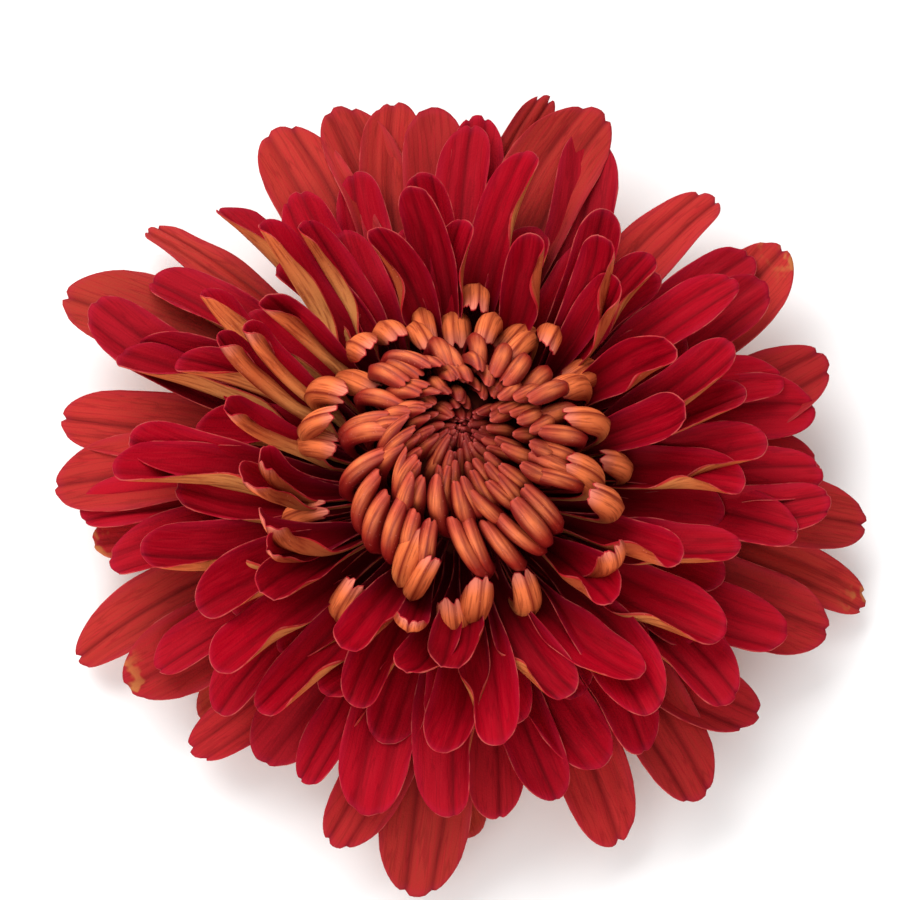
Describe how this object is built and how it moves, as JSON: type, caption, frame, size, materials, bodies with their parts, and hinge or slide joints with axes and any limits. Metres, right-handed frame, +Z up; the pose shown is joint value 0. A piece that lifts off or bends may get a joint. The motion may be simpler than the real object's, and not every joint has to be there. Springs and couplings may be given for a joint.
{
  "type": "cremon chrysanthemum bloom",
  "caption": "Picked chrysanthemum bloom lying face up: spreading crimson ray florets, hooked orange ones and an incurved dome over a green cup and short stub.",
  "frame": {"origin": "on the surface that the bloom lies on, under the middle of the head", "axes": "+Z up, out of the bloom's face; +Y away from a viewer who looks at the face; +X to that viewer's right"},
  "size_m": [0.1106, 0.1135, 0.0387],
  "materials": {
    "crimson_floret": "soft satin crimson petal, vermilion at the rim, tan on the back",
    "orange_backed_floret": "soft satin petal, crimson inside, orange tan on the back",
    "terracotta_floret": "soft satin petal, terracotta with pinkish tips",
    "green_bract": "matt leathery green with papery margins",
    "green_stalk": "matt ribbed green, pale at the cut"
  },
  "bodies": {
    "root": {"outer_ray_florets": "crimson_floret", "spoon_ray_florets": "orange_backed_floret", "incurved_ray_florets": "terracotta_floret", "involucre": "green_bract", "peduncle": "green_stalk"}
  },
  "joints": []
}
